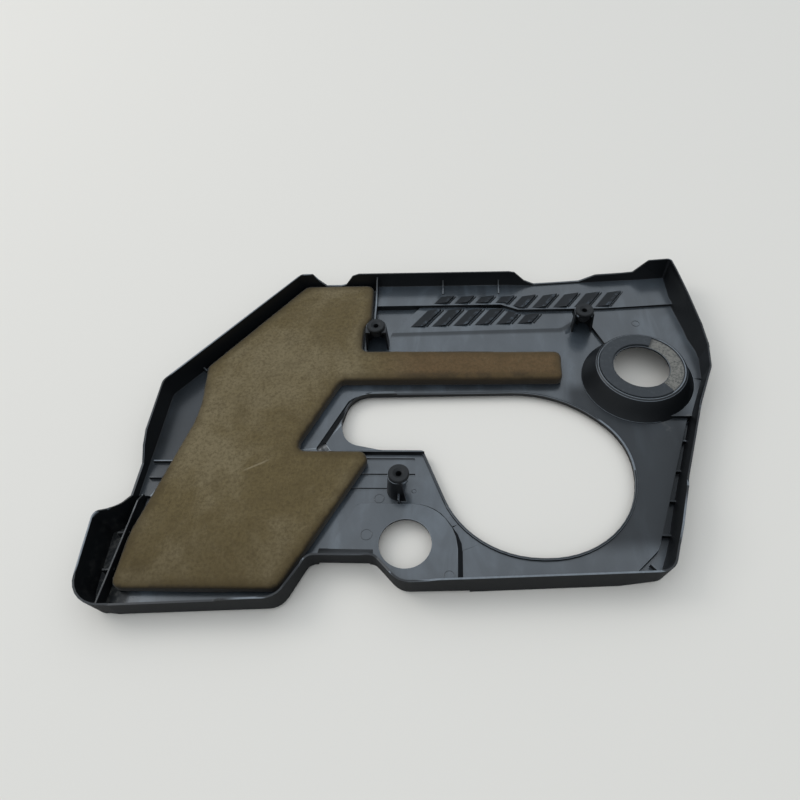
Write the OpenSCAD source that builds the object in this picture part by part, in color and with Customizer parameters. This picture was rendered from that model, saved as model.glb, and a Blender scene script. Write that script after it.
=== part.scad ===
// Engine cover, seen as it lies on its decorated face with the inner side up.
// +X runs along the long side, +Y to the back edge, +Z up out of the hollow.

/* [Skirt] */
// Thickness of the skirt wall at its foot
skirt_t = 2.8; // [2.4:0.1:3.4]
// Thickness of the skirt wall at its rim
rim_t = 1.8; // [1.6:0.1:2.4]
// Height of the rim along the front, right of the step
rim_front = 32; // [28:0.5:36]
// Height of the rim along the front, left of the step
rim_front_left = 29; // [26:0.5:31]
// Height of the rim along the back and left walls
rim_back = 34; // [30:0.5:38]
// Height of the rim where the back wall dips
rim_saddle = 16.5; // [16:0.5:20]
// Height of the rim at the far right corner
rim_corner = 40; // [36:0.5:44]
// Radius along the foot of the skirt
foot_r = 2.2; // [1:0.2:3]

/* [Face] */
// Thickness of the face
face_t = 2.6; // [2:0.1:3.2]
// Height of the main field's underside
main_z = 5; // [4:0.5:7]
// Rise of the back strip above the main field
strip_rise = 7; // [5:0.5:8]
// Rise of the right deck above the main field
deck_rise = 4; // [2:0.5:4.5]
// Rise of the small hole's panel above the main field
panel_rise = 6; // [4:0.5:8]
// Rise of the bed under the fins
bed_rise = 3; // [1:0.5:4]
// Height of each fin at its right end
fin_rise = 2.4; // [1:0.2:3]
// Height of the lip round the large opening
lip_h = 2.4; // [1:0.2:4]
// Width of the lip round the large opening
lip_w = 2.2; // [1.6:0.1:3]
// Rise of the ledge at the narrow end of the large opening
ledge_rise = 5; // [3:0.5:7]

/* [Holes] */
// Radius of the round end of the large opening
opening_r = 93; // [88:1:97]
// Radius of the small round hole
small_r = 24.4; // [20:0.2:27]
// Radius of the oil filler hole
filler_r = 28.5; // [24:0.5:30]

/* [Filler collar] */
// Radius of the collar at its base
collar_base_r = 58.5; // [55:0.5:60]
// Width of the gasket seat
seat_w = 15; // [12:0.5:17]
// Height of the gasket seat
seat_z = 29.5; // [27:0.5:33]
// Thickness of the gasket
gasket_t = 2.4; // [1.6:0.2:3]
// Angle that the gasket covers
gasket_arc = 240; // [180:1:300]

/* [Grommets] */
// Height of the shelf that holds each grommet
shelf_z = 35; // [30:0.5:37]
// Radius of a grommet's flange
flange_r = 10; // [9:0.1:11]
// Radius of a grommet's neck
neck_r = 6.2; // [5:0.1:7]
// Radius of the bulb under the shelf
bulb_r = 8; // [7.2:0.1:8.4]
// Height of the bulb
bulb_h = 9; // [7:0.5:12]
// Radius of the bore for the ball stud
stud_r = 3; // [2.5:0.1:3.5]

/* [Foam pad] */
// Thickness of the foam pad
foam_t = 11.4; // [8:0.2:13]
// Clearance round and under the foam pad
foam_gap = 0.3; // [0.2:0.1:0.6]

/* [Hidden] */

plastic = [0.13, 0.15, 0.17];
felt = [0.37, 0.31, 0.21];
rubber = [0.07, 0.07, 0.075];

// Straight ribs and steps share these sizes.
rib_t = 1.8;
eps = 0.6;
arc_step = 14;
fine_step = 6;

main_top = main_z + face_t;
strip_z = main_z + strip_rise;
strip_top = strip_z + face_t;
deck_z = main_z + deck_rise;
deck_top = deck_z + face_t;
panel_z = main_z + panel_rise;
panel_top = panel_z + face_t;
ledge_z = main_z + ledge_rise;
ledge_top = ledge_z + face_t;
notch_foot = panel_z + 6;
notch_rim = notch_foot + 10;
seat_r = filler_r + seat_w;
pocket_rib_z = 22;

function unit(v) = v / norm(v);
function left_of(v) = [-v[1], v[0]];
function xy(p) = [p[0], p[1]];
function turned(v, a) = [v[0] * cos(a) - v[1] * sin(a), v[0] * sin(a) + v[1] * cos(a)];

// Signed turn of the path at b, in degrees, positive to the left.
function turn_at(a, b, c) =
    let (u = b - a, v = c - b) atan2(u[0] * v[1] - u[1] * v[0], u * v);

// How many steps the arc at b takes.
function arc_steps(a, b, c, step) = max(2, ceil(abs(turn_at(a, b, c)) / step));

// The points that round one corner: the corner itself where its radius is nought.
function corner_points(a, b, c, r, steps) =
    r == 0 ? [b] :
    let (u = unit(b - a), turn = turn_at(a, b, c), s = sign(turn),
         start = b - u * r * tan(abs(turn) / 2),
         spoke = -s * r * left_of(u), centre = start - spoke)
    [for (k = [0:steps]) centre + turned(spoke, turn * k / steps)];

// A polygon of corners [x, y, radius, lean] as plain points, counted as the corners in like.
function rounded_as(c, like, step = arc_step) =
    let (n = len(c))
    [for (i = [0:n - 1])
        let (h = (i + n - 1) % n, j = (i + 1) % n)
        each corner_points(xy(c[h]), xy(c[i]), xy(c[j]), c[i][2],
                           arc_steps(xy(like[h]), xy(like[i]), xy(like[j]), step))];

function rounded(c, step = arc_step) = rounded_as(c, c, step);

function lean_of(corner) = len(corner) > 3 ? corner[3] : 0;

// The same corners moved inwards by d and a share of their lean; they run anticlockwise.
function inset(c, d, share = 0) =
    let (n = len(c))
    [for (i = [0:n - 1])
        let (p = xy(c[i]), a = xy(c[(i + n - 1) % n]), b = xy(c[(i + 1) % n]),
             nu = left_of(unit(p - a)), nv = left_of(unit(b - p)), w = d + share * lean_of(c[i]),
             q = p + (nu + nv) * w / (1 + nu * nv),
             s = sign(turn_at(a, p, b)))
        [q[0], q[1], c[i][2] == 0 ? 0 : max(0.5, c[i][2] - s * w), lean_of(c[i])]];

// Corners of the skirt's outer face, anticlockwise from the front left: x, y, corner
// radius, and how far the foot stands in from the rim.
rim = [
    [-302, -214, 28, 7], [-264, -211.5, 0, 1.5], [-117, -202.6, 20, 1], [-97, -161.5, 9, 1],
    [-38, -160.5, 9, 1], [-14, -186.5, 22, 1.5], [42, -183.4, 0, 0.6], [178, -175.8, 0, 1.2],
    [219, -173.5, 17, 5], [228, -148, 0, 3], [233.5, -130, 0, 1.5], [245.5, -93, 0, 1.5],
    [249, -83, 4, 1.5], [281, 5, 0, 2], [300.5, 50, 25, 2], [305, 80, 18, 3], [304, 110, 0, 10],
    [299.5, 156, 0, 13], [291.5, 213, 5, 5], [205, 205.7, 0, 1.5], [186, 204.2, 0, 1.5],
    [132, 200.8, 0, 1.5], [101, 202.8, 0, 1.5], [-80, 203.6, 0, 1.5], [-152, 204.6, 10, 1.5],
    [-282.5, 38, 16, 1.5], [-284, -97, 0, 1.5], [-289, -120, 6, 3], [-304, -125, 9, 5.5],
];

// Height of the rim along each side: the front and back from left to right, the others
// from front to back.
front_heights = [
    [-310, rim_front_left + 4], [-302, rim_front_left + 4], [-264, rim_front_left],
    [-172, rim_front_left], [-166, rim_front], [-113, rim_front], [-103, notch_rim],
    [-34, notch_rim], [-22, rim_front - 2], [10, rim_front - 2], [20, rim_front], [250, rim_front],
];
right_heights = [
    [-150, rim_front], [-148, rim_front], [-132, rim_front + 5], [-94, rim_front + 5],
    [-83, rim_front], [-5, rim_front], [50, rim_back], [80, rim_back], [108, rim_back + 2],
    [156, rim_back + 4], [190, rim_corner], [230, rim_corner],
];
back_heights = [
    [-160, rim_back], [-137, rim_back], [-130, rim_saddle + 8], [-122, rim_saddle],
    [-104, rim_saddle], [-97, rim_saddle + 2], [-88, rim_back - 3], [-80, rim_back],
    [101, rim_back], [108, rim_back - 1], [120, rim_saddle + 5], [132, rim_saddle],
    [186, rim_saddle], [205, rim_corner - 16], [249, rim_corner - 15], [258, rim_corner - 7],
    [265, rim_corner], [310, rim_corner],
];
left_heights = [
    [-187, rim_front_left + 4], [-125, rim_back + 3], [-120, rim_back + 1],
    [-109, rim_saddle + 8], [-97, rim_saddle + 1], [-60, rim_saddle + 1], [-44, rim_back - 7],
    [-28, rim_back - 2], [38, rim_back - 1], [206, rim_back], [220, rim_back],
];
front_part = [[-310, -230, 0], [250, -230, 0], [250, -150, 0], [-130, -150, 0], [-130, -187, 0],
              [-310, -187, 0]];
right_part = [[200, -150, 0], [320, -150, 0], [320, 190, 0], [200, 190, 0]];
back_part = [[-152, 190, 0], [320, 190, 0], [320, 230, 0], [-152, 230, 0]];
left_part = [[-320, -187, 0], [-200, -187, 0], [-152, 150, 0], [-152, 230, 0], [-320, 230, 0]];

// The large opening, anticlockwise: its round end, then its narrow end.
opening_c = [115, -60];
opening = [
    [4, -40.3, 5],
    [opening_c[0] - opening_r * 0.71, opening_c[1] - opening_r, opening_r],
    [opening_c[0] + opening_r, opening_c[1] - opening_r, opening_r * 0.98],
    [opening_c[0] + opening_r, opening_c[1] + opening_r * 0.355, opening_r * 0.84],
    [opening_c[0] + opening_r * 0.33, opening_c[1] + opening_r * 1.03, opening_r * 1.25],
    [-75.5, 32.4, 26], [-83.8, -7, 12], [-77, -31.5, 22], [-40, -39.9, 30],
];

// Raised and sunk regions of the face, anticlockwise.
sheet = [[-330, -240, 0], [330, -240, 0], [330, 240, 0], [-330, 240, 0]];
strip = [[-59, 166, 0], [91, 166, 3], [111, 156.8, 3], [210, 157.2, 0], [310, 163.6, 0],
         [310, 230, 0], [-59, 230, 0]];
deck = [[192, 134, 2], [205, 102, 0], [228, 60, 0], [232, 2.6, 0], [315, 2.6, 0],
        [315, 175, 0], [199, 175, 0]];
pocket = [[-320, -230, 0], [-281, -230, 0], [-271.6, -104, 0], [-262, -92, 4],
          [-320, -92, 0]];
channel = [[188, -230, 0], [330, -230, 0], [330, 2.6, 0], [273, 2.6, 0], [235.5, -94.3, 0],
           [216.5, -143, 16], [192, -166, 0]];
low_foot = [[50, -230, 0], [188, -230, 0], [188, -150, 0], [50, -150, 0]];

// Sloped regions: the foot and the head of each, corner by corner.
panel_foot = [[43.8, -200, 0], [43.8, -136, 45], [15, -96.5, 38], [-58.7, -101, 6],
              [-108.3, -200, 0]];
panel_head = [[36.9, -200, 0], [37.2, -129.6, 45], [12.4, -101.8, 42], [-57.9, -102, 5],
              [-107, -200, 0]];
ledge_foot = [[8, -43.5, 3], [8, 0, 0], [-30, 39.5, 0], [-63, 38.5, 8], [-81, 29, 8],
              [-111, -36, 6], [-104, -43.5, 5]];
ledge_head = [[7, -42.2, 3], [7, 0, 0], [-30, 36, 0], [-58, 35.5, 8], [-70, 28.5, 8],
              [-97, -33, 6], [-91, -41.8, 5]];
bed_foot = [[-42, 113.5, 0], [160, 117.6, 8], [180, 134, 0], [180, 160, 0], [-6, 168, 0]];
bed_head = [[-36, 126.5, 0], [158, 131.2, 8], [174, 143, 0], [174, 160, 0], [-3.5, 168, 0]];

// All above a line of heights, over one part of the plan; the line runs along X, or
// along Y with turn at 90.
module above(heights, plan, turn = 0) {
    last = len(heights) - 1;
    intersection() {
        rotate([90, 0, turn]) translate([0, 0, -350]) linear_extrude(700)
            polygon(concat(heights, [[heights[last][0], top_z + 1], [heights[0][0], top_z + 1]]));
        slab(plan, 0, top_z);
    }
}

// A solid through outlines of equal count, one above the other.
module loft(outlines, heights) {
    last = len(outlines) - 1;
    n = len(outlines[0]);
    points = [for (k = [0:last]) each [for (p = outlines[k]) [p[0], p[1], heights[k]]]];
    sides = [for (k = [0:last - 1]) each [for (i = [0:n - 1])
        let (a = k * n + i, b = k * n + (i + 1) % n) each [[a, a + n, b + n], [a, b + n, b]]]];
    caps = [[for (i = [0:n - 1]) i], [for (i = [n - 1:-1:0]) last * n + i]];
    polyhedron(points, concat(sides, caps), convexity = 8);
}

// The skirt's block, foot_d and rim_d inside its outer face: its foot is eased and its
// sides lean out up to lean_top.
top_z = 50;
lean_top = 34;
module block(foot_d, rim_d, bottom, top) {
    levels = [[bottom, 1.4], [0.3 * foot_r, 0.3], [foot_r, 0], [lean_top, 0], [top, 0]];
    loft(
        [for (v = levels)
            let (up = min(1, max(0, v[0] / lean_top)))
            rounded_as(inset(rim, foot_d + (rim_d - foot_d) * up + foot_r * v[1], 1 - up), rim)],
        [for (v = levels) v[0]]
    );
}

// The wall, face and ribs in one: a block less the air above and below the face, then less
// what lies above the rim and below each foot.
module body() {
    difference() {
        block(0, 0, -1, top_z - 1);
        difference() {
            block(skirt_t, rim_t, -2, top_z);
            face();
            ribs();
        }
        above(front_heights, front_part);
        above(back_heights, back_part);
        above(right_heights, right_part, 90);
        above(left_heights, left_part, 90);
        slab(sheet, -5, 0);
        difference() {
            slab(sheet, -4, main_z);
            for (r = [pocket, channel, low_foot])
                slab(inset(r, -face_t), -6, top_z);
        }
        slab(inset(strip, face_t), -4, strip_z);
        slab(inset(deck, face_t), -4, deck_z);
        notch();
    }
}

// What is cut from the foot of the wall at the notch, with sloping ends.
module notch() {
    rotate([90, 0, 0]) translate([0, 0, 158.8]) linear_extrude(60)
        polygon([[-92, -3], [-40, -3], [-46, notch_foot], [-86, notch_foot]]);
}

// A prism on a polygon of corners between two heights.
module slab(corners, z0, z1, step = arc_step) {
    translate([0, 0, z0]) linear_extrude(z1 - z0) polygon(rounded(corners, step));
}

// A region lifted by a step: its top plate and the wall of the step.
module lifted(corners, z_low, z_high) {
    difference() {
        slab(corners, z_low, z_high + face_t);
        slab(inset(corners, face_t), z_low - 1, z_high);
    }
}

// A region sunk to the foot of the block: its floor, and the wall of the step round it. It
// runs on below, where the block ends it.
module sunk(corners, z_high) {
    difference() {
        slab(inset(corners, -face_t), -3, z_high);
        slab(corners, face_t, z_high + 1);
    }
}

// A region whose sides slope from foot to head, with its hollow underside.
module sloped(foot, head, z_low, z_high) {
    difference() {
        loft([rounded(foot), rounded_as(head, foot)], [z_low, z_high + face_t]);
        loft([rounded(inset(foot, face_t)), rounded_as(inset(head, face_t), inset(foot, face_t))],
             [z_low - eps, z_high]);
    }
}

// A straight rib between two points of the plan.
module rib(a, b, z0, z1, t = rib_t) {
    u = unit(b - a);
    side = left_of(u) * t / 2;
    translate([0, 0, z0]) linear_extrude(z1 - z0) polygon([a - side, b - side, b + side, a + side]);
}

// A gusset that falls from the wall at b to the field at a.
module gusset(a, b, z0, low, high) {
    d = b - a;
    translate([a[0], a[1], 0]) rotate([90, 0, atan2(d[1], d[0])])
        translate([0, 0, -rib_t / 2]) linear_extrude(rib_t)
            polygon([[0, z0], [norm(d), z0], [norm(d), high], [norm(d) * 0.55, low + 2], [0, low]]);
}

// One fin: a wedge that rises to the right, along a line that leans to the right.
fin_turn = 36;
fin_pitch = 24.4;
fin_w = 17;
module fin(x, y, z) {
    w = fin_w * cos(fin_turn);
    translate([x, y, z]) rotate([90, 0, -fin_turn]) translate([0, 0, -60]) linear_extrude(120)
        polygon([[0, -eps], [w, -eps], [w, fin_rise], [w - 0.4, fin_rise], [0, 0]]);
}

// A low straight ridge beside a fin.
module fin_ridge(x, y, z) {
    translate([x, y, z - eps]) rotate([0, 0, -fin_turn]) translate([0, -60, 0])
        cube([fin_ridge_w, 120, eps + fin_ridge_h]);
}

// Both rows of fins: the lower on its raised bed, the upper on the back strip.
fin_ridge_w = 1;
fin_ridge_h = 1;
lower_fins = [[-30, 133.6, 0], [131, 138.2, 0], [145, 152, 0], [112, 152, 0], [94, 161.5, 0],
              [-12, 161.5, 0]];
upper_fins = [[-9, 168.6, 0], [94, 168.6, 0], [112.5, 159.6, 0], [220, 159.9, 0], [236, 184, 0],
              [110, 178.6, 0], [2, 180.6, 0]];
module fins() {
    intersection() {
        slab(lower_fins, main_top, strip_top + 10);
        for (i = [0:5]) {
            fin(-16.6 + fin_pitch * i, 134, main_top + bed_rise);
            fin_ridge(2.6 + fin_pitch * i, 134, main_top + bed_rise);
        }
    }
    intersection() {
        slab(upper_fins, main_top, strip_top + 10);
        for (i = [0:8]) {
            fin(8 + fin_pitch * i, 165, strip_top);
            fin_ridge(26.6 + fin_pitch * i, 165, strip_top);
        }
    }
}

// Towers that hold the grommets: place, direction of the open side, width of the top,
// reach towards the open side, reach of the back, and how far each side flares.
tower_t = 1.8;
slot_gap = 0.2;
towers = [
    [[-52.6, 111.6], 0, 23, 9, 11.5, 1.8],
    [[181.4, 131.6], 0, 21, 5, 10.5, 1],
    [[-18, -82.4], 90, 21, 3, 10.5, 3],
];

module at_tower(t) {
    translate([t[0][0], t[0][1], 0]) rotate(t[1]) children();
}

// A tower's outline, d inside its top: square to the open side, round at the back.
function tower_outline(t, d, reach) =
    let (w = t[2] / 2 - d, r = max(1, w - 1))
    [[-w, -reach, 0], [w, -reach, 0], [w, t[4] - d, r], [-w, t[4] - d, r]];

module tower(t, base_z) {
    like = tower_outline(t, 0, t[3]);
    at_tower(t) difference() {
        union() {
            loft([rounded_as(tower_outline(t, -t[5], t[3] + t[5]), like), rounded(like)],
                 [base_z, shelf_z]);
            translate([0, 0, shelf_z - face_t]) cylinder(h = face_t, r = t[2] / 2, $fn = 32);
        }
        loft([rounded_as(tower_outline(t, tower_t - t[5], 3 * t[2]), like),
              rounded_as(tower_outline(t, tower_t, 3 * t[2]), like)],
             [main_top, shelf_z - face_t]);
        translate([0, 0, main_top]) cylinder(h = shelf_z, r = neck_r + slot_gap, $fn = 32);
        translate([-neck_r - slot_gap, -t[2], main_top])
            cube([2 * (neck_r + slot_gap), t[2], shelf_z]);
    }
}

// Filler collar: a coned neck with a recessed seat and the round hole.
collar_c = [231.5, 54.6];
collar_t = 3;
seat_lip = 1;
module collar() {
    translate([collar_c[0], collar_c[1], 0]) rotate_extrude($fn = 72)
        polygon([
            [collar_base_r - collar_t, main_z], [collar_base_r, main_z], [collar_base_r, main_top + 1],
            [collar_base_r - 3, main_top + 5], [seat_r + 5, seat_z - 4], [seat_r + 3, seat_z - 0.5],
            [seat_r + 1, seat_z + seat_lip], [seat_r, seat_z + seat_lip], [seat_r, seat_z],
            [filler_r, seat_z], [filler_r, seat_z - face_t], [seat_r, seat_z - face_t],
            [seat_r + 1.6, seat_z - 5], [collar_base_r - 3 - collar_t, main_top + 4],
        ]);
}

// The face of the cover: its field, lifted and sunk regions, and their holes.
module face() {
    difference() {
        union() {
            difference() {
                slab(sheet, main_z, main_top);
                for (r = [strip, deck, panel_foot, ledge_foot])
                    slab(inset(r, face_t), main_z - 1, main_top + 1);
                for (r = [pocket, channel])
                    slab(r, main_z - 1, main_top + 1);
            }
            lifted(strip, main_z, strip_z);
            difference() {
                lifted(deck, main_z, deck_z);
                slab(inset(strip, face_t), main_z - 1, deck_top + 1);
            }
            sloped(panel_foot, panel_head, main_z, panel_z);
            sloped(ledge_foot, ledge_head, main_z, ledge_z);
            sunk(pocket, main_top);
            sunk(channel, main_top);
            loft([rounded(bed_foot), rounded_as(bed_head, bed_foot)],
                 [main_top - eps, main_top + bed_rise]);
            slab(inset(opening, -lip_w), main_z, main_top + lip_h, fine_step);
            notch_band([-90, -40], -170, face_t - 0.2, 5);
            fins();
        }
        notch_band([-86, -44], -171, -0.2, 60);
        slab(opening, -1, 60, fine_step);
        translate([collar_c[0], collar_c[1], -1])
            cylinder(h = 60, r = collar_base_r - collar_t / 2, $fn = 72);
        translate([small_c[0], small_c[1], -1]) cylinder(h = 60, r = small_r, $fn = 72);
        grooves();
    }
}

small_c = [-10.8, -142.2];

// The band that climbs from the small hole's panel to the rim of the notch.
band_y = [-159, -148.5];
module notch_band(x, y_out, up, down) {
    slope = (notch_foot - panel_z) / (band_y[1] - band_y[0]);
    z_out = panel_z + slope * (band_y[1] - y_out) + up;
    translate([x[1], 0, 0]) rotate([90, 0, -90]) linear_extrude(x[1] - x[0])
        polygon([[-band_y[1], panel_z + up], [-y_out, z_out], [-y_out, panel_z - down],
                 [-band_y[1], panel_z - down]]);
}

// Three shallow grooves beside the lower tower.
groove_w = 2.4;
groove_depth = 1.5;
groove_y = [-48.2, -66.4, -82.6];
groove_end = [-5, -4, -30];
module grooves() {
    for (i = [0:2])
        translate([-75, groove_y[i] - groove_w / 2, main_top - groove_depth])
            cube([75 + groove_end[i], groove_w, groove_depth + 1]);
}

// Ribs and gussets that stiffen the skirt and part the pocket from the field.
ladder_y = [-25, -60, -93, -128];
module ribs() {
    gusset([-57.6, 122], [-57.6, 206], main_top - eps, main_top + 9, rim_back - 3);
    for (x = [22.5, 89.5])
        gusset([x, 184], [x, 206], strip_top - eps, strip_top + 1.5, rim_back - 4);
    gusset([-246.5, 69], [-258, 79], main_top - eps, main_top + 3, rim_back - 6);
    rib([-275, -52.7], [-254.5, -52.7], main_top - eps, main_top + 4);
    rib([-274, -72.3], [-260, -72.3], main_top - eps, main_top + 4);
    rib([-280.2, -212], [-271.4, -95], main_top - eps, pocket_rib_z);
    rib([-285, -136.5], [-273, -135.5], face_t - eps, pocket_rib_z - 6);
    rib([-288, -173.5], [-276, -172.5], face_t - eps, pocket_rib_z - 6);
    for (y = ladder_y) {
        x = 235.5 + (y + 94.3) * 0.387;
        rib([x - 1, y], [x + 20, y - 1], face_t - eps, main_top);
    }
    rib([207, -156], [223, -174], face_t - eps, main_top);
    rib([-18.4, -101], [-18.4, -92], main_top - eps, main_top + 12);
}

// Round ejector marks and the plain date disc: place, radius, height of the surface.
marks = [
    [[243, 134.4], 4.6, deck_top], [[29.5, -172.6], 5, panel_top], [[-47.1, -134.1], 5.6, panel_top],
    [[-38.2, -93], 5, main_top], [[-4.6, -84.4], 2.4, main_top],
];
mark_h = 0.4;
module ejector_marks() {
    for (m = marks)
        translate([m[0][0], m[0][1], m[2] - eps]) difference() {
            cylinder(h = eps + mark_h, r = m[1], $fn = 32);
            cylinder(h = 2, r = m[1] - 0.7, $fn = 32);
        }
}

module cover_shell() {
    color(plastic) {
        body();
        collar();
        for (t = towers)
            tower(t, main_z + 1);
        ejector_marks();
    }
}

// The pad, anticlockwise, cut from one sheet to clear the ribs, towers and openings.
foam = [
    [-274.5, -191.3, 9], [-121.5, -189.4, 12], [-51.3, -54.5, 6], [-56, -45, 6],
    [-123.6, -44, 6], [-123.4, -31, 6], [-88.4, 47.8, 7], [151, 47.4, 6], [152.5, 87, 7],
    [-69, 90, 7], [-69, 126, 12], [-61.4, 142, 12], [-62, 198.4, 9], [-146.5, 198.4, 9],
    [-243, 68.5, 6], [-238.5, 16, 30], [-240.5, -8, 40], [-261, -94, 60], [-272, -138, 60],
];
module foam_pad() {
    color(felt)
        slab(foam, main_top + foam_gap, main_top + foam_gap + foam_t);
}

// A grommet: flange, neck in the slot of its shelf, and the bulb below.
dish_r = 5.6;
module grommet(t) {
    flange_h = 3.4;
    translate([t[0][0], t[0][1], shelf_z]) color(rubber) rotate_extrude($fn = 64)
        polygon([
            [stud_r, -face_t - bulb_h], [bulb_r - 2.4, -face_t - bulb_h],
            [bulb_r, -face_t - bulb_h * 0.45], [bulb_r, -face_t], [neck_r, -face_t],
            [neck_r, 0], [flange_r, 0], [flange_r, flange_h - 1],
            [flange_r - 0.8, flange_h], [dish_r, flange_h], [stud_r, flange_h - 1.6],
        ]);
}

module filler_gasket() {
    color(rubber) translate([collar_c[0], collar_c[1], seat_z])
        rotate([0, 0, 66]) rotate_extrude(angle = gasket_arc, $fn = 72)
            polygon([
                [filler_r + 1.2, 0], [seat_r - 0.4, 0], [seat_r - 0.4, gasket_t - 0.5],
                [seat_r - 0.9, gasket_t], [filler_r + 1.7, gasket_t], [filler_r + 1.2, gasket_t - 0.5],
            ]);
}

cover_shell();
foam_pad();
grommet(towers[0]);  // grommet_upper_left
grommet(towers[1]);  // grommet_upper_right
grommet(towers[2]);  // grommet_lower
filler_gasket();
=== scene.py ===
"""Engine cover lying on its decorated face, with its inner side up, on a plain pale floor."""

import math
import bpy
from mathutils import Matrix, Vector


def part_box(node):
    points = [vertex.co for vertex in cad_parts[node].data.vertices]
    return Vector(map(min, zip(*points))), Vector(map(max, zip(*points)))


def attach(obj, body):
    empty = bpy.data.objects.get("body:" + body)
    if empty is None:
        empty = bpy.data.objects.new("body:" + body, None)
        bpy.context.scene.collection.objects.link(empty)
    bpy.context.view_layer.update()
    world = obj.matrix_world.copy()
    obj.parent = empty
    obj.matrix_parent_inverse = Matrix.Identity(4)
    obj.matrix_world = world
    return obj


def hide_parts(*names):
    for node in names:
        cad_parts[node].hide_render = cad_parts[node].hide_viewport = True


bl_info = {
    "name": "Moulded engine cover",
    "version": (1, 0, 0),
    "blender": (4, 5, 0),
    "location": "3D View > Sidebar > Engine cover",
    "description": "Dresses the moulded cover, its felt pad, its grommets and its torn gasket",
    "category": "Object",
}

import bmesh
import bpy
from mathutils import Matrix, Vector

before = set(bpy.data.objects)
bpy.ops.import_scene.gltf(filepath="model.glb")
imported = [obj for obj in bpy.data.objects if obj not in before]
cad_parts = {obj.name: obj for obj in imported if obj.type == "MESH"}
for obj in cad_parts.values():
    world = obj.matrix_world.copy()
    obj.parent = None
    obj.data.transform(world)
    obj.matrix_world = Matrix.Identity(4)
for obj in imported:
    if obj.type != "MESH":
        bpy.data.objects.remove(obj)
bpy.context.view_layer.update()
MM = 0.001

# Where the gasket of the oil filler lies, from the frame, and its radii.
GASKET_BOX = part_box("filler_gasket")
GASKET_OUTER = 43.1 * MM
GASKET_INNER = 29.7 * MM
GROMMETS = ("grommet_upper_left", "grommet_upper_right", "grommet_lower")

# Places on the moulding that look different: low and high corners of boxes, in metres.
FIN_ROWS = (
    ((-0.04, 0.134, 0.0109), (0.155, 0.163, 0.0132)),
    ((-0.01, 0.16, 0.0149), (0.236, 0.184, 0.0172)),
)
FIN_CRESTS = (
    ((-0.04, 0.134, 0.0125), (0.155, 0.163, 0.0132)),
    ((-0.01, 0.16, 0.0165), (0.236, 0.184, 0.0172)),
)
POCKET = ((-0.31, -0.215, 0.0), (-0.262, -0.12, 0.02))
# Painted shade: the right field gets less of the film, so it is darker; it also gets less coat.
SHADE_AND_DULL_RIGHT = ((0.165, -0.13, 0.0), (0.26, 0.035, 0.02))
DULL_LEFT = ((-0.31, -0.1, 0.0), (-0.2, 0.15, 0.02))
# Heights of the large opening's lip, which is duller: where its mask rises and falls.
LIP_FOOT = (8.4 * MM, 9.4 * MM)
LIP_HEAD = (10.1 * MM, 10.4 * MM)

# Places on the pad: its arm, its front, and the crease in it.
ARM_ACROSS = (-75 * MM, 10 * MM)
ARM_FOOT = (20 * MM, 46 * MM)
ARM_HEAD = (92 * MM, 100 * MM)
PAD_FRONT = (-0.19, -0.09)
CREASE_OFFSET = (0.1729, -0.0248, 0)
CREASE_TURN = -0.511

# What counts as a sharp edge, an acute corner, a bent bevel and a smooth surface.
SHARP_EDGE = math.radians(20)
ACUTE_CORNER = math.radians(55)
BENT_EDGE = math.radians(8)
SMOOTH_UNDER = math.radians(34)
# Area over outline of the narrow faces in a bevel.
BEVEL_SPREAD = (0.07 * MM, 0.3 * MM)

LAMP_PLACE = (-2.3, 0.9, 2.1)
LAMP_SIZE = 1.4
LAMP_POWER = 20.0
FLOOR_SIZE = 12.0
# The floor lies this far under the cover, so that no two faces share a plane.
FLOOR_DROP = 0.05 * MM


# Helpers for meshes


def add_object(name, mesh):
    """Puts a mesh in the scene as a new object."""
    piece = bpy.data.objects.new(name, mesh)
    bpy.context.scene.collection.objects.link(piece)
    return piece


def bmesh_object(name, bm):
    """Makes an object of an editable mesh, and frees that mesh."""
    mesh = bpy.data.meshes.new(name)
    bm.to_mesh(mesh)
    bm.free()
    return add_object(name, mesh)


def merged_copy(name, node):
    """A copy of a CAD node's mesh with its doubles merged, as a new object."""
    bm = bmesh.new()
    bm.from_mesh(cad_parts[node].data)
    bmesh.ops.remove_doubles(bm, verts=bm.verts, dist=0.002 * MM)
    return bmesh_object(name, bm)


def bake_modifiers(piece):
    """Applies every modifier of the piece to its mesh."""
    graph = bpy.context.evaluated_depsgraph_get()
    mesh = bpy.data.meshes.new_from_object(piece.evaluated_get(graph))
    piece.modifiers.clear()
    old = piece.data
    piece.data = mesh
    bpy.data.meshes.remove(old)


def finish_piece(piece, material, nodes):
    """Gives a finished piece its material, and its place in the frame."""
    piece.data.materials.clear()
    piece.data.materials.append(material)
    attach(piece, "root")
    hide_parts(*nodes)


# Helpers for materials


class Wire:
    """A value in a shader: Python operators on it add Math nodes."""

    def __init__(self, finish, socket):
        self.finish = finish
        self.socket = socket

    def math(self, operation, *values, clamp=False):
        sockets = dict(enumerate((self,) + values))
        return self.finish.add(
            "ShaderNodeMath", {"operation": operation, "use_clamp": clamp}, sockets
        )

    def __add__(self, other):
        return self.math("ADD", other)

    __radd__ = __add__

    def __sub__(self, other):
        return self.math("SUBTRACT", other)

    def __rsub__(self, other):
        return self.finish.add(
            "ShaderNodeMath", {"operation": "SUBTRACT"}, {0: other, 1: self}
        )

    def __mul__(self, other):
        return self.math("MULTIPLY", other)

    __rmul__ = __mul__

    def __truediv__(self, other):
        return self.math("DIVIDE", other)

    def __pow__(self, other):
        return self.math("POWER", other)

    def clamped(self):
        return self.math("ADD", 0.0, clamp=True)

    def between(self, low, high):
        """Runs from nought at low to one at high, smoothly."""
        return self.finish.add(
            "ShaderNodeMapRange",
            {"interpolation_type": "SMOOTHSTEP"},
            {"Value": self, "From Min": low, "From Max": high},
        )


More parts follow.
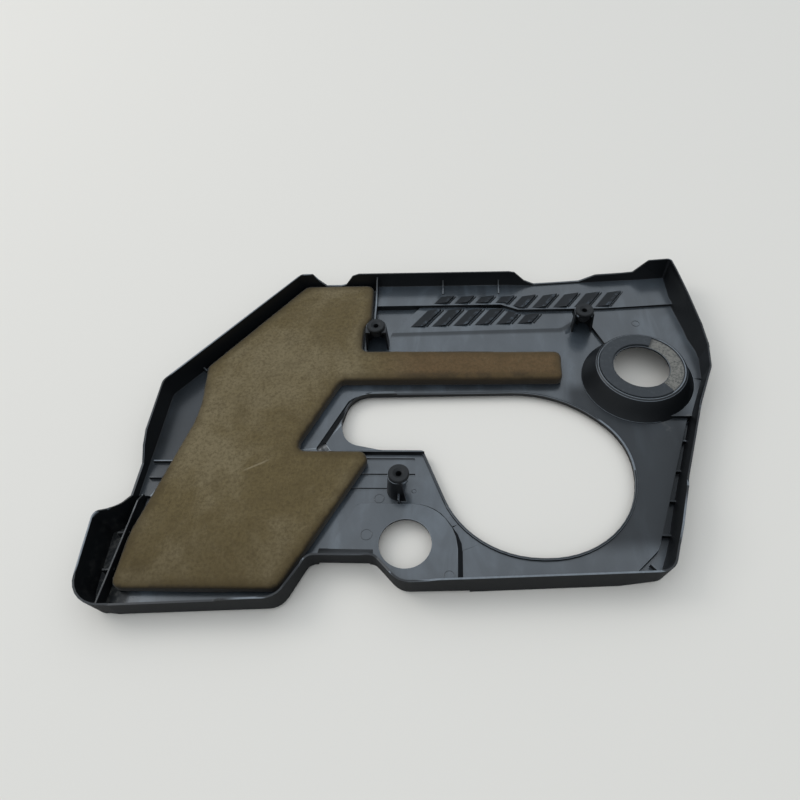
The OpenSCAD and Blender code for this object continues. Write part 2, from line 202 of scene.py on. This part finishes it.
class Tree:
    """A tree of nodes that is built node by node."""

    def __init__(self, tree):
        self.tree = tree

    def add(self, kind, settings=None, sockets=None, out=0):
        """Adds a node: its settings first, then the values or links of its sockets."""
        node = self.tree.nodes.new(kind)
        for name, value in (settings or {}).items():
            setattr(node, name, value)
        for key, value in (sockets or {}).items():
            self.plug(node.inputs[key], value)
        return Wire(self, node.outputs[out])

    def plug(self, socket, value):
        """Links a wire to the socket, or sets the socket's value."""
        if isinstance(value, Wire):
            self.tree.links.new(value.socket, socket)
        else:
            socket.default_value = value

    def axis(self, vector, which):
        return self.add("ShaderNodeSeparateXYZ", None, {"Vector": vector}, out=which)

    def cloud(self, vector, scale, detail=4.0, rough=0.55, bend=0.0):
        """Noise in space."""
        return self.add(
            "ShaderNodeTexNoise",
            None,
            {"Vector": vector, "Scale": scale, "Detail": detail, "Roughness": rough,
             "Distortion": bend},
        )


class Finish(Tree):
    """A material, or the sky."""

    def __init__(self, name, kind="materials", shader="Principled BSDF"):
        self.material = getattr(bpy.data, kind).new(name)
        self.material.use_nodes = True
        super().__init__(self.material.node_tree)
        self.shader = self.tree.nodes[shader]

    def set(self, **sockets):
        for name, value in sockets.items():
            self.plug(self.shader.inputs[name.replace("_", " ")], value)

    def place(self):
        return self.add("ShaderNodeTexCoord", out="Object")

    def moved(self, vector, offset=(0, 0, 0), scale=(1, 1, 1), turn=0.0):
        return self.add(
            "ShaderNodeMapping",
            None,
            {"Vector": vector, "Location": offset, "Scale": scale, "Rotation": (0, 0, turn)},
        )

    def blend(self, factor, low, high):
        settings = {"data_type": "RGBA", "blend_type": "MIX", "clamp_factor": True}
        return self.add("ShaderNodeMix", settings, {0: factor, 6: low, 7: high}, out=2)

    def bump(self, height, strength, distance, under=None):
        sockets = {"Height": height, "Strength": strength, "Distance": distance}
        if under is not None:
            sockets["Normal"] = under
        return self.add("ShaderNodeBump", None, sockets)


def grey(value):
    return (value, value, value, 1.0)


def rgba(colour):
    return (*colour[:3], 1.0)


# Materials


def about_collar(finish, place):
    """Distances from the collar's axis: across, along, and straight out."""
    low, high = GASKET_BOX
    across = finish.axis(place, "X") - (low[0] + GASKET_OUTER)
    along = finish.axis(place, "Y") - (low[1] + high[1]) / 2
    return across, along, (across * across + along * along) ** 0.5


def seat_residue(finish, place, normal_up):
    """Where the missing gasket left glue on the collar's seat, and a smear in front of it."""
    across, along, out = about_collar(finish, place)
    low, high = GASKET_BOX
    height = finish.axis(place, "Z")
    ring = out.between(GASKET_INNER - 1 * MM, GASKET_INNER) * (
        1 - out.between(GASKET_OUTER - 1.5 * MM, GASKET_OUTER)
    )
    gap = (across / out).between(0.35, 0.5)
    seat = height.between(low[2] - 1.5 * MM, low[2] - 0.6 * MM)
    flakes = finish.cloud(place, 420.0, 6.0, 0.7)
    blotches = finish.cloud(place, 60.0, 3.0, 0.6)
    glue = ring * gap * seat * normal_up * (flakes.between(0.3, 0.62) * 0.8 + 0.2)
    smear = (along * -1).between(28 * MM, 48 * MM) * across.between(5 * MM, 30 * MM)
    smear = smear * (1 - out.between(70 * MM, 80 * MM)) * blotches.between(0.5, 0.72)
    return glue, smear * normal_up


def inside(finish, place, low, high, soft):
    """One inside the box from low to high, in metres, and nought outside it."""
    mask = 1
    for letter, near, far in zip("XYZ", low, high):
        value = finish.axis(place, letter)
        mask = value.between(near - soft, near) * (1 - value.between(far, far + soft)) * mask
    return mask


def inside_any(finish, place, boxes, soft):
    """The masks of several boxes, added up."""
    masks = [inside(finish, place, low, high, soft) for low, high in boxes]
    return sum(masks[1:], masks[0])


def cover_plastic(look):
    """Satin black plastic: what faces up is glossier and carries a thin uneven grey film, partly
    dust and partly a painted reflection of the sky.
    """
    finish = Finish("cover_plastic")
    place = finish.place()
    normal = finish.add("ShaderNodeNewGeometry", out="Normal")
    height = finish.axis(place, "Z")
    facing = finish.axis(normal, "Z")
    up = facing.between(0.86, 0.985)
    broad = finish.cloud(place, 7.0, 3.0, 0.6, 0.6)
    wiped = finish.cloud(finish.moved(place, scale=(1, 0.3, 1), turn=0.35), 42.0, 4.0, 0.6, 0.5)
    fine = finish.cloud(place, 260.0, 5.0, 0.65)
    grain = finish.cloud(place, 2400.0, 2.0, 0.5)
    scratches = finish.cloud(finish.moved(place, scale=(1, 0.06, 1), turn=-0.7), 900.0, 2.0, 0.5)
    fins = inside_any(finish, place, FIN_ROWS, 0.2 * MM)
    crests = inside_any(finish, place, FIN_CRESTS, 0.2 * MM)
    pocket = inside(finish, place, *POCKET, 6 * MM)
    shade_and_dullness = inside(finish, place, *SHADE_AND_DULL_RIGHT, 22 * MM)
    shade_and_dullness = shade_and_dullness + inside(finish, place, *DULL_LEFT, 25 * MM) * 0.85
    # Painted shade in the pocket's recess: its floor gets less of the film, so it is darker.
    shade_and_dullness = shade_and_dullness + pocket * 1.3
    low_down = 1 - height.between(18 * MM, 26 * MM)
    # The film is partly dust and partly a painted reflection of the bright sky on the faces that
    # look up.
    film = up * low_down * (1 - shade_and_dullness * 0.75).clamped() * (1 - fins.clamped() * 0.9) * look.dust_and_sheen
    film = film * (
        0.25 + broad.between(0.3, 0.7) * 0.45 + wiped.between(0.45, 0.75) * 0.5 + fine * 0.2
    )
    fold = finish.add("ShaderNodeAttribute", {"attribute_name": "fold"}, out="Fac")
    lip = height.between(*LIP_FOOT) * (1 - height.between(*LIP_HEAD))
    # Painted highlight: the convex bevels are coloured lighter, where rounded edges would catch the
    # sky.
    wear_and_highlight = fold.between(0.05, 0.7) * (0.5 + fine)
    # Painted shade in concave corners: the film is taken away there, so they are darker; the coat
    # is taken away too.
    corner_shade = (fold * -1).between(0.0, 0.8)
    film = film * (1 - corner_shade) * (1 - lip * 0.7)
    residue, smear = seat_residue(finish, place, up)
    dusty = finish.cloud(place, 150.0, 5.0, 0.7).between(0.45, 0.7)
    colour = finish.blend(film, rgba(look.plastic), rgba(look.dust_and_sheen_colour))
    colour = finish.blend(wear_and_highlight * 0.65, colour, rgba(look.wear_and_highlight))
    colour = finish.blend(crests * dusty * 0.6, colour, rgba(look.dust_and_sheen_colour))
    smudge = smear * 0.5 + pocket * dusty * facing.clamped() * 0.35
    colour = finish.blend(smudge, colour, rgba(look.residue))
    colour = finish.blend(residue, colour, rgba(look.residue))
    outside = (facing * -1).between(0.0, 0.012)
    rough = 0.34 + broad * 0.08 + fine * 0.08 + fins.clamped() * 0.25 + outside * 0.4
    gloss = facing.between(0.55, 0.92) * (1 - shade_and_dullness * 0.8).clamped() * (1 - fins.clamped())
    gloss = gloss * (0.6 + wiped * 0.7) * (1 - residue)
    gloss = gloss * (1 - corner_shade) * (1 - lip * 0.65)
    under = finish.bump(grain, 0.08, 0.05 * MM)
    finish.set(
        Base_Color=colour,
        Roughness=rough + (residue + smear * 0.5) * 0.5,
        Normal=finish.bump(scratches * 0.4 + residue * fine * 3, 0.15, 0.15 * MM, under),
        Specular_IOR_Level=0.34,
        Coat_Weight=gloss * low_down.math("MAXIMUM", 0.25),
        Coat_Roughness=0.2,
        Coat_IOR=1.62,
    )
    return finish.material


def pad_felt(look):
    """Needled felt: olive brown, blotched, redder and stained along its arm."""
    finish = Finish("pad_felt")
    place = finish.place()
    across = finish.axis(place, "X")
    along = finish.axis(place, "Y")
    normal = finish.add("ShaderNodeNewGeometry", out="Normal")
    side = 1 - finish.axis(normal, "Z").between(0.15, 0.8)
    rim = finish.add("ShaderNodeAttribute", {"attribute_name": "rim_distance"}, out="Fac")
    broad = finish.cloud(place, 11.0, 4.0, 0.6, 0.4)
    patches = finish.cloud(place, 34.0, 4.0, 0.6)
    tufts = finish.cloud(place, 300.0, 4.0, 0.7)
    fibres = finish.cloud(place, 1300.0, 5.0, 0.75)
    brushed = finish.cloud(finish.moved(place, scale=(1, 0.12, 1)), 620.0, 3.0, 0.6)
    arm = across.between(*ARM_ACROSS) * along.between(*ARM_FOOT)
    arm = arm * (1 - along.between(*ARM_HEAD))
    colour = finish.blend(broad.between(0.38, 0.64), rgba(look.felt), rgba(look.felt_pale))
    colour = finish.blend(arm, colour, rgba(look.felt_arm))
    colour = finish.blend(patches.between(0.5, 0.75) * 0.35, colour, rgba(look.felt_dark))
    colour = finish.blend(tufts.between(0.35, 0.7) * 0.55, colour, rgba(look.felt_dark))
    colour = finish.blend(fibres.between(0.5, 0.68) * 0.3, colour, rgba(look.felt_pale))
    colour = finish.blend(brushed.between(0.55, 0.8) * 0.3, colour, rgba(look.felt_pale))
    front = (1 - along.between(*PAD_FRONT)) * (0.6 + patches)
    colour = finish.blend(front * 0.3, colour, rgba(look.felt_dark))
    stain_and_edge_shade = arm * (1 - along.between(50 * MM, 62 * MM)) * patches.between(0.42, 0.56)
    colour = finish.blend(stain_and_edge_shade * 0.75, colour, rgba(look.stain_and_edge_shade))
    fringe = 1 - (rim + (patches - 0.5) * 0.02 + (tufts - 0.5) * 0.006).between(0, 13 * MM)
    colour = finish.blend(fringe * 0.65, colour, rgba(look.felt_dark))
    near = 1 - (rim + (tufts - 0.5) * 0.006).between(0, 3.6 * MM)
    local = finish.moved(place, offset=CREASE_OFFSET, turn=CREASE_TURN)
    across_crease = finish.axis(local, "Y") + (patches - 0.5) * 0.006
    crease = (1 - across_crease.math("ABSOLUTE").between(0.3 * MM, 1.6 * MM)) * (
        1 - finish.axis(local, "X").math("ABSOLUTE").between(6 * MM, 17 * MM)
    )
    colour = finish.blend(crease * 0.45, colour, rgba(look.crease))
    # Painted shade: the pad's sideways faces and a thin band along them are darkened with the stain
    # colour.
    colour = finish.blend((near * 0.65).math("MAXIMUM", side * 0.8), colour, rgba(look.stain_and_edge_shade))
    finish.set(
        Base_Color=colour,
        Roughness=0.95,
        Normal=finish.bump(fibres * 0.5 + tufts * 0.5 + brushed * 0.2, 0.7, 0.8 * MM),
        Specular_IOR_Level=0.1,
        Sheen_Weight=0.12,
        Sheen_Roughness=0.5,
    )
    return finish.material


def plain_rubber(name, colour, wear_and_highlight, roughness):
    """Dull rubber with paler flecks of wear."""
    finish = Finish(name)
    place = finish.place()
    flecks = finish.cloud(place, 260.0, 5.0, 0.65)
    grain = finish.cloud(place, 1500.0, 2.0)
    finish.set(
        Base_Color=finish.blend(flecks.between(0.5, 0.85), rgba(colour), rgba(wear_and_highlight)),
        Roughness=roughness,
        Normal=finish.bump(grain + flecks, 0.2, 0.08 * MM),
        Specular_IOR_Level=0.4,
    )
    return finish.material


def floor_finish(colour):
    """A dull plain floor."""
    finish = Finish("floor")
    finish.set(Base_Color=rgba(colour), Roughness=0.9, Specular_IOR_Level=0.2)
    return finish.material


# Geometry nodes


def felt_tree(name, inputs):
    """A tree that swells the pad's upper side and sets short loose fibres on it."""
    tree = bpy.data.node_groups.new(name, "GeometryNodeTree")
    keys = {}
    for label, (kind, value) in inputs.items():
        socket = tree.interface.new_socket(label, in_out="INPUT", socket_type=kind)
        keys[label] = socket.identifier
    tree.interface.new_socket("Felt", in_out="OUTPUT", socket_type="NodeSocketGeometry")
    felt = Tree(tree)
    entry = tree.nodes.new("NodeGroupInput")
    given = {label: Wire(felt, entry.outputs[label]) for label in inputs}
    place = felt.add("GeometryNodeInputPosition")
    share = (felt.axis(place, "Z") - given["Base"]) / given["Thickness"]
    upper = share.between(0.25, 0.9)
    swell = (felt.cloud(place, 28.0, 3.0) - 0.5) * 2 * given["Relief"] * upper
    lumps = (felt.cloud(place, 190.0, 2.0) - 0.5) * 0.7 * given["Relief"] * upper
    lift = felt.add("ShaderNodeCombineXYZ", None, {"Z": swell + lumps})
    pad = felt.add("GeometryNodeSetPosition", None, {"Geometry": given["Pad"], "Offset": lift})
    normal = felt.add("GeometryNodeInputNormal")
    sides = felt.add(
        "GeometryNodeSeparateGeometry",
        {"domain": "FACE"},
        {"Geometry": pad, "Selection": felt.axis(normal, "Z").math("LESS_THAN", 0.35)},
    )
    away = felt.add(
        "GeometryNodeProximity", {"target_element": "FACES"}, {0: sides}, out="Distance"
    )
    pad = felt.add(
        "GeometryNodeStoreNamedAttribute",
        {"data_type": "FLOAT", "domain": "POINT"},
        {"Geometry": pad, "Name": "rim_distance", "Value": away},
    )
    points = felt.tree.nodes.new("GeometryNodeDistributePointsOnFaces")
    felt.plug(points.inputs["Mesh"], pad)
    felt.plug(points.inputs["Density"], given["Fibres"])
    felt.plug(points.inputs["Seed"], given["Seed"])
    felt.plug(points.inputs["Selection"], share.math("GREATER_THAN", 0.3))
    length = given["Fibre length"]
    middle = felt.add("ShaderNodeCombineXYZ", None, {"X": length * 0.3, "Z": length * 0.7})
    end = felt.add("ShaderNodeCombineXYZ", None, {"X": length * 0.9, "Z": length * 0.1})
    bend = felt.add(
        "GeometryNodeCurveQuadraticBezier",
        None,
        {"Resolution": 3, "Start": (0, 0, -0.3 * MM), "Middle": middle, "End": end},
    )
    round_profile = felt.add(
        "GeometryNodeCurvePrimitiveCircle",
        None,
        {"Resolution": 3, "Radius": given["Fibre width"] * 0.5},
    )
    fibre = felt.add(
        "GeometryNodeCurveToMesh",
        None,
        {"Curve": bend, "Profile Curve": round_profile, "Fill Caps": True},
    )
    lean = felt.add(
        "FunctionNodeRandomValue",
        {"data_type": "FLOAT_VECTOR"},
        {0: (-0.5, -0.5, 0.0), 1: (0.5, 0.5, 2 * math.pi), "Seed": given["Seed"]},
    )
    turn = felt.add(
        "FunctionNodeRotateRotation",
        {"rotation_space": "LOCAL"},
        {"Rotation": Wire(felt, points.outputs["Rotation"]), "Rotate By": lean},
    )
    size = felt.add(
        "FunctionNodeRandomValue",
        {"data_type": "FLOAT"},
        {2: 0.4, 3: 1.0, "Seed": given["Seed"]},
        out=1,
    )
    fibres = felt.add(
        "GeometryNodeInstanceOnPoints",
        None,
        {"Points": Wire(felt, points.outputs["Points"]), "Instance": fibre, "Rotation": turn,
         "Scale": size},
    )
    joined = felt.tree.nodes.new("GeometryNodeJoinGeometry")
    for part in (fibres, pad):
        felt.plug(joined.inputs[0], part)
    whole = felt.add("GeometryNodeRealizeInstances", None, {0: Wire(felt, joined.outputs[0])})
    dressed = felt.add(
        "GeometryNodeSetMaterial", None, {"Geometry": whole, "Material": given["Material"]}
    )
    felt.plug(tree.nodes.new("NodeGroupOutput").inputs[0], dressed)
    return tree, keys


def grow(piece, name, inputs):
    """Runs a tree of geometry nodes on the piece with the given inputs."""
    tree, keys = felt_tree(name, inputs)
    modifier = piece.modifiers.new(name, "NODES")
    modifier.node_group = tree
    for label, (_, value) in inputs.items():
        if value is not None:
            modifier[keys[label]] = value
    bake_modifiers(piece)


# What a user would change


def colour_property(name, description, default):
    """A colour that a user can change."""
    return bpy.props.FloatVectorProperty(
        name=name, description=description, default=default, min=0, max=1, size=3, subtype="COLOR"
    )


def length_property(name, description, default, low, high):
    """A length that a user can change."""
    return bpy.props.FloatProperty(
        name=name, description=description, default=default, min=low, max=high, subtype="DISTANCE",
        unit="LENGTH",
    )


class CoverSettings(bpy.types.PropertyGroup):
    edge: length_property(
        "Edge radius", "Radius along the edges of the moulding", 0.45 * MM, 0, 2 * MM
    )
    plastic: colour_property("Plastic", "Colour of the clean plastic", (0.0032, 0.0037, 0.0043))
    # Colour and amount of the film, which is partly dust and partly a painted reflection of the
    # sky.
    dust_and_sheen_colour: colour_property("Dust and sheen", "Colour of the dust film", (0.078, 0.096, 0.114))
    dust_and_sheen: bpy.props.FloatProperty(
        name="Film", description="How thick the dust film lies", default=0.5, min=0, max=1,
        subtype="FACTOR",
    )
    # Colour of the painted highlight along the convex edges of the moulding.
    wear_and_highlight: colour_property("Edge highlight", "Colour of the painted highlight along the edges", (0.2, 0.22, 0.24))
    residue: colour_property("Residue", "Colour of the glue on the gasket seat", (0.17, 0.16, 0.14))


class PadSettings(bpy.types.PropertyGroup):
    felt: colour_property("Felt", "Main colour of the felt", (0.112, 0.081, 0.035))
    felt_pale: colour_property("Pale felt", "Colour of the lighter blotches", (0.168, 0.13, 0.071))
    felt_dark: colour_property("Dark felt", "Colour between the fibres", (0.05, 0.034, 0.014))
    felt_arm: colour_property("Arm", "Colour of the redder arm of the pad", (0.108, 0.064, 0.029))
    crease: colour_property("Crease", "Colour of the rubbed crease", (0.27, 0.22, 0.14))
    # Colour of the stains on the arm, also used for the painted shade on the pad's edges and sides.
    stain_and_edge_shade: colour_property(
        "Stain and edge shade", "Colour of the stains and of the painted shade on the edges and sides", (0.022, 0.016, 0.01)
    )
    voxel: length_property("Voxel", "Size of the pad's mesh cells", 2.0 * MM, 1 * MM, 5 * MM)
    relief: length_property("Relief", "Height of the pad's soft unevenness", 0.6 * MM, 0, 2 * MM)
    fibres: bpy.props.FloatProperty(
        name="Fibres", description="Loose fibres on each square metre", default=30000,
        min=0, max=90000,
    )
    fibre_length: length_property("Fibre length", "Length of a fibre", 3.0 * MM, 0, 6 * MM)
    fibre_width: length_property("Fibre width", "Width of a fibre", 0.12 * MM, 0.02 * MM, 0.5 * MM)


class RubberSettings(bpy.types.PropertyGroup):
    rubber: colour_property("Rubber", "Colour of the grommets", (0.0035, 0.0038, 0.004))
    wear_and_highlight: colour_property(
        "Worn rubber", "Colour of the grommets' worn flecks", (0.012, 0.013, 0.014)
    )
    gasket: colour_property("Gasket", "Colour of the gasket", (0.022, 0.025, 0.028))
    gasket_worn: colour_property("Worn gasket", "Colour of its worn flecks", (0.05, 0.054, 0.058))


class StageSettings(bpy.types.PropertyGroup):
    floor: colour_property("Floor", "Colour of the floor", (0.69, 0.64, 0.575))
    sky: bpy.props.FloatProperty(
        name="Sky", description="Brightness of the sky overhead", default=1.2, min=0, max=4
    )
    horizon: bpy.props.FloatProperty(
        name="Horizon", description="Brightness of the sky at the horizon",
        default=0.32, min=0, max=4,
    )
    backdrop: bpy.props.FloatProperty(
        name="Backdrop", description="Brightness of the sky where the camera sees it",
        default=0.72, min=0, max=1,
    )
    pitch: bpy.props.FloatProperty(
        name="Pitch", description="Angle of the camera below the horizon",
        default=math.radians(52), subtype="ANGLE",
    )
    roll: bpy.props.FloatProperty(
        name="Roll", description="Roll of the camera", default=math.radians(6), subtype="ANGLE"
    )
    yaw: bpy.props.FloatProperty(
        name="Yaw", description="Turn of the camera about the upright", default=math.radians(7.3),
        subtype="ANGLE",
    )
    eye: bpy.props.FloatVectorProperty(
        name="Eye", description="Place of the camera", default=(0.0314, -0.4002, 0.56),
        subtype="TRANSLATION",
    )


# Pieces


def mark_edges(piece):
    """Marks the middle of each bevel, plus one where convex and minus one where concave."""
    bm = bmesh.new()
    bm.from_mesh(piece.data)
    fold = bm.verts.layers.float.new("fold")
    least, most = BEVEL_SPREAD
    spread = {face: face.calc_area() / face.calc_perimeter() for face in bm.faces}
    for vertex in bm.verts:
        if all(least < spread[face] < most for face in vertex.link_faces):
            bends = [edge.calc_face_angle_signed(0.0) for edge in vertex.link_edges]
            strongest = max(bends, key=abs)
            if abs(strongest) > BENT_EDGE:
                vertex[fold] = math.copysign(1.0, strongest)
    bm.to_mesh(piece.data)
    bm.free()


def weigh_edges(piece, width):
    """Weighs each sharp edge for its bevel, less where detail is small."""
    bm = bmesh.new()
    bm.from_mesh(piece.data)
    weight = bm.edges.layers.float.new("bevel_weight_edge")
    sharp = {edge for edge in bm.edges if abs(edge.calc_face_angle_signed(0.0)) > SHARP_EDGE}
    for edge in sharp:
        shortest = min(near.calc_length() for vertex in edge.verts for near in vertex.link_edges)
        share = min(1.0, 0.3 * shortest / width)
        for vertex in edge.verts:
            along = edge.other_vert(vertex).co - vertex.co
            for near in vertex.link_edges:
                side = near.other_vert(vertex).co - vertex.co
                if near in sharp and near is not edge and along.angle(side) < ACUTE_CORNER:
                    share = min(share, 0.05)
        edge[weight] = share
    bm.to_mesh(piece.data)
    bm.free()


def make_shell(look):
    """The black moulding, from the CAD shell with its sharp edges rounded."""
    piece = merged_copy("cover_moulding", "cover_shell")
    weigh_edges(piece, look.edge)
    bevel = piece.modifiers.new("edges", "BEVEL")
    bevel.width = look.edge
    bevel.segments = 2
    bevel.limit_method = "WEIGHT"
    bevel.use_clamp_overlap = False
    bake_modifiers(piece)
    mark_edges(piece)
    for face in piece.data.polygons:
        face.use_smooth = True
    piece.data.set_sharp_from_angle(angle=SMOOTH_UNDER)
    flats = piece.modifiers.new("flats", "WEIGHTED_NORMAL")
    flats.weight = 100
    flats.keep_sharp = True
    bake_modifiers(piece)
    finish_piece(piece, cover_plastic(look), ["cover_shell"])


def make_pad(look):
    """The felt pad, from the CAD pad remeshed, softened and covered with fibres."""
    piece = merged_copy("felt_pad", "foam_pad")
    remesh = piece.modifiers.new("cells", "REMESH")
    remesh.mode = "VOXEL"
    remesh.voxel_size = look.voxel
    smooth = piece.modifiers.new("soften", "SMOOTH")
    smooth.factor = 0.5
    smooth.iterations = 4
    bake_modifiers(piece)
    felt = pad_felt(look)
    low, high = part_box("foam_pad")
    number = "NodeSocketFloat"
    inputs = {
        "Pad": ("NodeSocketGeometry", None),
        "Base": (number, low[2]),
        "Thickness": (number, high[2] - low[2]),
        "Relief": (number, look.relief),
        "Fibres": (number, look.fibres),
        "Fibre length": (number, look.fibre_length),
        "Fibre width": (number, look.fibre_width),
        "Seed": ("NodeSocketInt", 7),
        "Material": ("NodeSocketMaterial", felt),
    }
    grow(piece, "felt", inputs)
    for face in piece.data.polygons:
        face.use_smooth = True
    finish_piece(piece, felt, ["foam_pad"])


def dress_node(name, material):
    """Gives a CAD node its material and leaves its mesh as it is."""
    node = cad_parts[name]
    node.data.materials.clear()
    node.data.materials.append(material)


class COVER_OT_shell(bpy.types.Operator):
    """Make the black moulding"""

    bl_idname = "engine_cover.shell"
    bl_label = "Moulding"

    def execute(self, context):
        make_shell(context.scene.cover_shell)
        return {"FINISHED"}


class COVER_OT_pad(bpy.types.Operator):
    """Make the felt pad"""

    bl_idname = "engine_cover.pad"
    bl_label = "Felt pad"

    def execute(self, context):
        make_pad(context.scene.cover_pad)
        return {"FINISHED"}


class COVER_OT_rubber(bpy.types.Operator):
    """Make the grommets and the gasket"""

    bl_idname = "engine_cover.rubber"
    bl_label = "Rubber pieces"

    def execute(self, context):
        look = context.scene.cover_rubber
        rubber = plain_rubber("grommet_rubber", look.rubber, look.wear_and_highlight, 0.6)
        for name in GROMMETS:
            dress_node(name, rubber)
        gasket = plain_rubber("gasket_rubber", look.gasket, look.gasket_worn, 0.6)
        dress_node("filler_gasket", gasket)
        return {"FINISHED"}


class COVER_OT_stage(bpy.types.Operator):
    """Make the floor, the lamps and the camera"""

    bl_idname = "engine_cover.stage"
    bl_label = "Stage"

    def execute(self, context):
        look = context.scene.cover_stage
        make_floor(look)
        make_lights(look)
        make_camera(look)
        return {"FINISHED"}


def make_floor(look):
    """A wide plain floor just under the cover."""
    bm = bmesh.new()
    bmesh.ops.create_grid(bm, x_segments=1, y_segments=1, size=FLOOR_SIZE)
    bmesh.ops.translate(bm, vec=(0, 0, -FLOOR_DROP), verts=bm.verts)
    floor = bmesh_object("floor", bm)
    floor.data.materials.append(floor_finish(look.floor))


def make_lights(look):
    """An even sky, brightest overhead and a little brighter to the left, and one soft lamp."""
    sky = Finish("sky", "worlds", "Background")
    ahead = sky.add("ShaderNodeTexCoord", out="Generated")
    level = sky.axis(ahead, "Z").between(0.05, 0.85)
    left = 1 - sky.axis(ahead, "X") * 0.22
    seen = sky.add("ShaderNodeLightPath", out="Is Camera Ray")
    shine = (level * (look.sky - look.horizon) + look.horizon) * left
    sky.set(
        Color=sky.blend(seen, (0.9, 0.99, 1.08, 1.0), grey(1.0)),
        Strength=shine * (1 - seen) + seen * look.backdrop,
    )
    bpy.context.scene.world = sky.material
    data = bpy.data.lights.new("soft_lamp", "AREA")
    data.size = LAMP_SIZE
    data.energy = LAMP_POWER
    lamp = bpy.data.objects.new("soft_lamp", data)
    lamp.location = LAMP_PLACE
    lamp.rotation_euler = (-Vector(LAMP_PLACE)).to_track_quat("-Z", "Y").to_euler()
    bpy.context.scene.collection.objects.link(lamp)


def make_camera(look):
    """The camera at the photograph's viewing angle, from pitch, roll and yaw."""
    turn = Matrix.Rotation(look.yaw, 3, "Z")
    right = turn @ Vector((1, 0, 0))
    rise = turn @ Vector((0, math.sin(look.pitch), math.cos(look.pitch)))
    ahead = turn @ Vector((0, math.cos(look.pitch), -math.sin(look.pitch)))
    side = math.cos(look.roll) * right - math.sin(look.roll) * rise
    top = math.sin(look.roll) * right + math.cos(look.roll) * rise
    data = bpy.data.cameras.new("camera")
    data.sensor_fit = "HORIZONTAL"
    data.sensor_width = 36.0
    focal_px = 647.0
    image_px = 800.0
    data.lens = focal_px / image_px * data.sensor_width
    camera = bpy.data.objects.new("camera", data)
    pose = Matrix((side, top, -ahead)).transposed().to_4x4()
    pose.translation = Vector(look.eye)
    camera.matrix_world = pose
    bpy.context.scene.collection.objects.link(camera)
    bpy.context.scene.camera = camera


class COVER_PT_panel(bpy.types.Panel):
    """Lists the pieces of the engine cover"""

    bl_label = "Engine cover"
    bl_idname = "COVER_PT_panel"
    bl_space_type = "VIEW_3D"
    bl_region_type = "UI"
    bl_category = "Engine cover"

    def draw(self, context):
        for operator, group in PIECES:
            box = self.layout.box()
            box.operator(operator.bl_idname)
            settings = getattr(context.scene, group)
            for name in settings.bl_rna.properties.keys():
                if name not in ("rna_type", "name"):
                    box.prop(settings, name)


GROUPS = {
    "cover_shell": CoverSettings,
    "cover_pad": PadSettings,
    "cover_rubber": RubberSettings,
    "cover_stage": StageSettings,
}
PIECES = (
    (COVER_OT_shell, "cover_shell"),
    (COVER_OT_pad, "cover_pad"),
    (COVER_OT_rubber, "cover_rubber"),
    (COVER_OT_stage, "cover_stage"),
)
CLASSES = (*GROUPS.values(), *(operator for operator, _ in PIECES), COVER_PT_panel)


def register():
    for cls in CLASSES:
        bpy.utils.register_class(cls)
    for name, group in GROUPS.items():
        setattr(bpy.types.Scene, name, bpy.props.PointerProperty(type=group))


def unregister():
    for name in GROUPS:
        delattr(bpy.types.Scene, name)
    for cls in reversed(CLASSES):
        bpy.utils.unregister_class(cls)


def main():
    register()
    bpy.context.scene.view_settings.view_transform = "Standard"
    bpy.ops.engine_cover.stage()
    bpy.ops.engine_cover.shell()
    bpy.ops.engine_cover.pad()
    bpy.ops.engine_cover.rubber()


if __name__ == "__main__":
    main()
